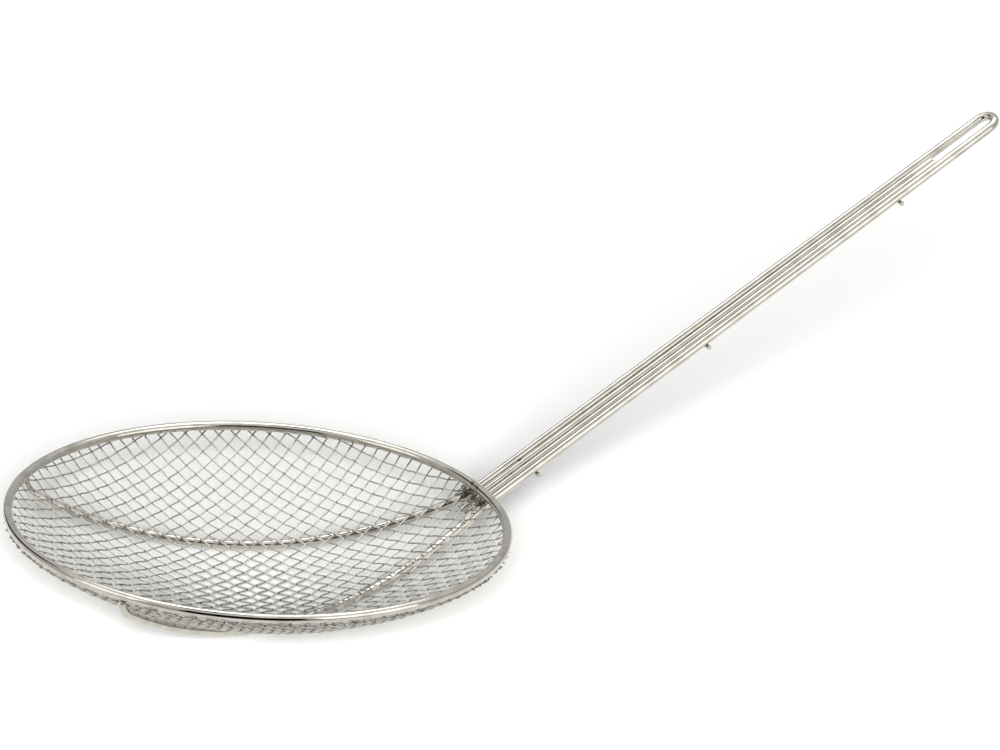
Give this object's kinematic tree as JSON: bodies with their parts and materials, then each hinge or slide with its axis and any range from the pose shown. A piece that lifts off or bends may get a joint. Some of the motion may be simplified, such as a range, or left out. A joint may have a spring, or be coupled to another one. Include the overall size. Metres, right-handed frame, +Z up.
{
  "type": "spider skimmer",
  "caption": "Shallow woven wire bowl under a round wire hoop, on a long rising handle of parallel wires with a loop for hanging.",
  "frame": {"origin": "on the bowl's vertical axis, at the height of its lowest wire, which is the surface that it stands on", "axes": "+Z up along the bowl's axis with the hoop level, +X towards the handle's loop, +Y to the handle's left as seen from the loop"},
  "size_m": [0.5422, 0.2544, 0.2016],
  "materials": {
    "plated_wire": "bright nickel and chrome plate on steel wire, lightly drawn along its length",
    "plated_mesh": "dull plate on thin woven steel wire"
  },
  "bodies": {
    "root": {"rim_hoop": "plated_wire", "outer_handle_wire": "plated_wire", "left_rib_wire": "plated_wire", "right_rib_wire": "plated_wire", "inner_wire_left": "plated_wire", "inner_wire_right": "plated_wire", "cross_wire_rim": "plated_wire", "cross_wire_middle": "plated_wire", "cross_wire_loop": "plated_wire", "mesh_warp_wires": "plated_mesh", "mesh_weft_wires": "plated_mesh"}
  },
  "joints": []
}
